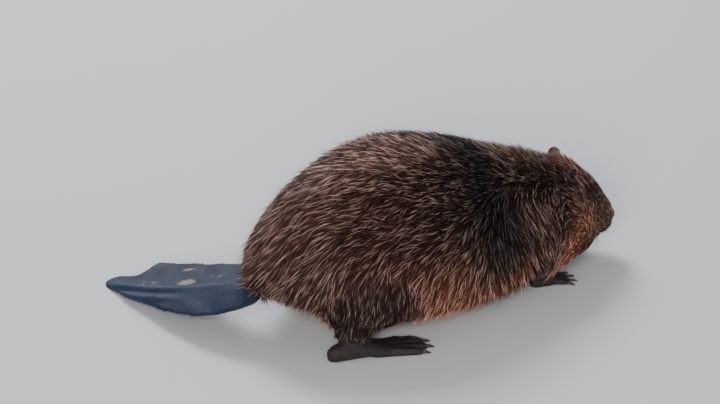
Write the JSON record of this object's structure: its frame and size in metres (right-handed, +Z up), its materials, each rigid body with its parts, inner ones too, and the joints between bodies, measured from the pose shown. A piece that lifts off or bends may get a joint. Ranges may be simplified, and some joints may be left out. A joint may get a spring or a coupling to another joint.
{
  "type": "beaver",
  "caption": "Life-size standing beaver, hunched on all fours with its head lowered and its flat scaly tail laid on the floor to one side; a still model.",
  "frame": {"origin": "middle of the bounding box on the floor, between the feet and under the belly's front half", "axes": "+X the way the trunk faces, towards the head; +Y the animal's left; +Z up"},
  "size_m": [0.789, 0.4756, 0.295],
  "materials": {
    "body_fur": "coarse damp guard hairs, dark brown with lighter tips",
    "face_fur": "short dense fur, orange brown on the cheeks",
    "scaly_tail": "scaly hide with a satin sheen, slate",
    "foot_skin": "bare dark skin, matt",
    "claw": "dark horn with a soft shine",
    "nose": "damp black skin",
    "eye": "wet and almost black"
  },
  "bodies": {
    "root": {"hind_leg_right": "body_fur", "hind_foot_right": "foot_skin", "hind_claw_right_1": "claw", "hind_claw_right_2": "claw", "hind_claw_right_3": "claw", "hind_claw_right_4": "claw", "hind_claw_right_5": "claw", "foreleg_right": "body_fur", "forefoot_right": "foot_skin", "fore_claw_right_1": "claw", "fore_claw_right_2": "claw", "fore_claw_right_3": "claw", "fore_claw_right_4": "claw", "fore_claw_right_5": "claw", "hind_leg_left": "body_fur", "hind_foot_left": "foot_skin", "hind_claw_left_1": "claw", "hind_claw_left_2": "claw", "hind_claw_left_3": "claw", "hind_claw_left_4": "claw", "hind_claw_left_5": "claw", "foreleg_left": "body_fur", "forefoot_left": "foot_skin", "fore_claw_left_1": "claw", "fore_claw_left_2": "claw", "fore_claw_left_3": "claw", "fore_claw_left_4": "claw", "fore_claw_left_5": "claw", "tail": "scaly_tail", "trunk": "body_fur", "neck": "body_fur", "tail_root": "body_fur", "eye_right": "eye", "ear_right": "face_fur", "eye_left": "eye", "ear_left": "face_fur", "head": "face_fur", "nose": "nose"}
  },
  "joints": []
}
